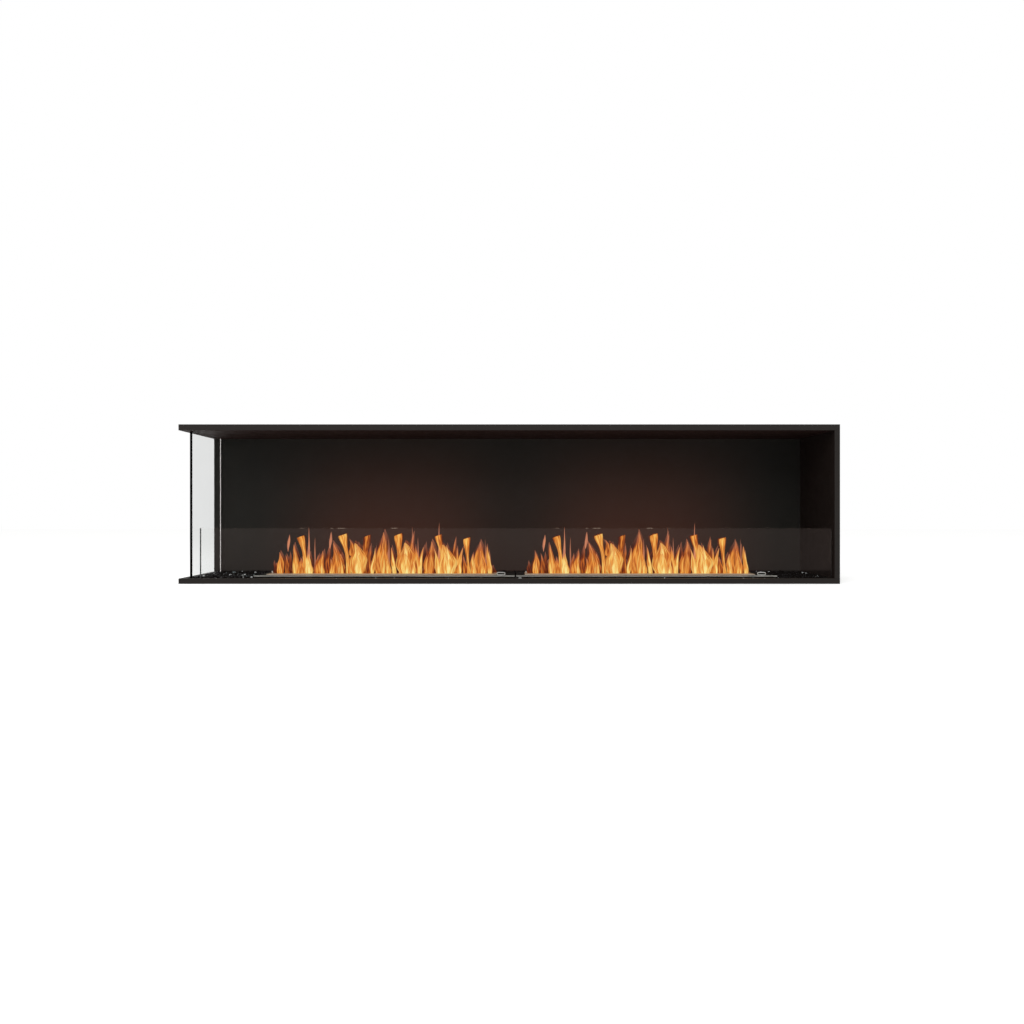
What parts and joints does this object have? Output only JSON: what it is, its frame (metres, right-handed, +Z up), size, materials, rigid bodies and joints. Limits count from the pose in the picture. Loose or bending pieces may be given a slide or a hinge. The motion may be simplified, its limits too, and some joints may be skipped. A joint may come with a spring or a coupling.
{
  "type": "bioethanol fireplace insert",
  "caption": "Wide built-in firebox of folded steel, open at the front and the left, with lift-out ethanol burners, sliding shutters, crushed glass and glass screens.",
  "frame": {"origin": "middle of the casing's footprint, on the underside of the base plate", "axes": "+X to the right along the width, +Y from the open front to the back wall, +Z up"},
  "size_m": [2.222, 0.365, 0.536],
  "materials": {
    "powder_coat": "charcoal powder coat with a fine sandy grain",
    "liner_coat": "black heat-proof powder coat, matt, fine grain",
    "tube_steel": "zinc-coated mild steel",
    "insulation_board": "light mineral board, matt",
    "clear_glass": "clear toughened glass, faint grey",
    "silicone": "black silicone, matt",
    "crushed_glass": "loose broken black glass with shiny faces",
    "plate_coat": "black heat-proof coat, satin",
    "brushed_stainless": "stainless steel, brushed along its length",
    "satin_trim": "satin stainless steel",
    "ceramic_fibre": "white ceramic fibre felt"
  },
  "bodies": {
    "casing": {"base_plate": "powder_coat", "front_lip": "powder_coat", "left_lip": "powder_coat", "back_outer_skin": "powder_coat", "right_outer_skin": "powder_coat", "top_outer_skin": "powder_coat", "rear_skin_screws": "powder_coat", "side_skin_screws": "powder_coat", "floor_pan": "liner_coat", "back_liner": "liner_coat", "rear_left_post": "liner_coat", "right_liner": "liner_coat", "top_liner": "liner_coat", "side_channel_bottom": "liner_coat", "side_channel_top": "liner_coat", "screen_rail": "liner_coat", "burner_fence_left": "liner_coat", "burner_fence_right": "liner_coat", "base_rail_front": "tube_steel", "base_rail_left": "tube_steel", "base_rail_right": "tube_steel", "base_rail_rear": "tube_steel", "rear_right_post": "tube_steel", "front_right_post": "tube_steel", "top_rail_front": "tube_steel", "top_rail_rear": "tube_steel", "top_rail_left": "tube_steel", "rear_weld_nuts": "tube_steel", "side_weld_nuts": "tube_steel", "back_insulation": "insulation_board", "right_insulation": "insulation_board", "top_insulation": "insulation_board", "side_glass": "clear_glass", "side_glass_blocks": "silicone", "side_glass_seal": "silicone", "screen_blocks": "silicone", "glass_bed_front": "crushed_glass", "glass_bed_rear": "crushed_glass", "glass_bed_left": "crushed_glass", "glass_bed_right": "crushed_glass"},
    "front_screen": {"front_screen": "clear_glass"},
    "burner_left": {"burner_tray_left": "brushed_stainless", "burner_plate_left": "plate_coat", "plate_trim_left": "satin_trim", "slot_frame_left": "brushed_stainless", "lift_stud_left": "brushed_stainless", "shutter_guides_left": "brushed_stainless", "fibre_pad_left": "ceramic_fibre"},
    "shutter_left": {"shutter_left": "brushed_stainless", "shutter_pull_left": "brushed_stainless"},
    "burner_right": {"burner_tray_right": "brushed_stainless", "burner_plate_right": "plate_coat", "plate_trim_right": "satin_trim", "slot_frame_right": "brushed_stainless", "lift_stud_right": "brushed_stainless", "shutter_guides_right": "brushed_stainless", "fibre_pad_right": "ceramic_fibre"},
    "shutter_right": {"shutter_right": "brushed_stainless", "shutter_pull_right": "brushed_stainless"}
  },
  "joints": [
    {"name": "front_screen_lift", "type": "slide", "parent": "casing", "child": "front_screen", "axis": [0, 0, 1], "range_m": [0, 0.15]},
    {"name": "burner_left_lift", "type": "slide", "parent": "casing", "child": "burner_left", "axis": [0, 0, 1], "range_m": [0, 0.12]},
    {"name": "shutter_left_slide", "type": "slide", "parent": "burner_left", "child": "shutter_left", "axis": [0, 1, 0], "range_m": [0, 0.041]},
    {"name": "burner_right_lift", "type": "slide", "parent": "casing", "child": "burner_right", "axis": [0, 0, 1], "range_m": [0, 0.12]},
    {"name": "shutter_right_slide", "type": "slide", "parent": "burner_right", "child": "shutter_right", "axis": [0, 1, 0], "range_m": [0, 0.041]}
  ]
}
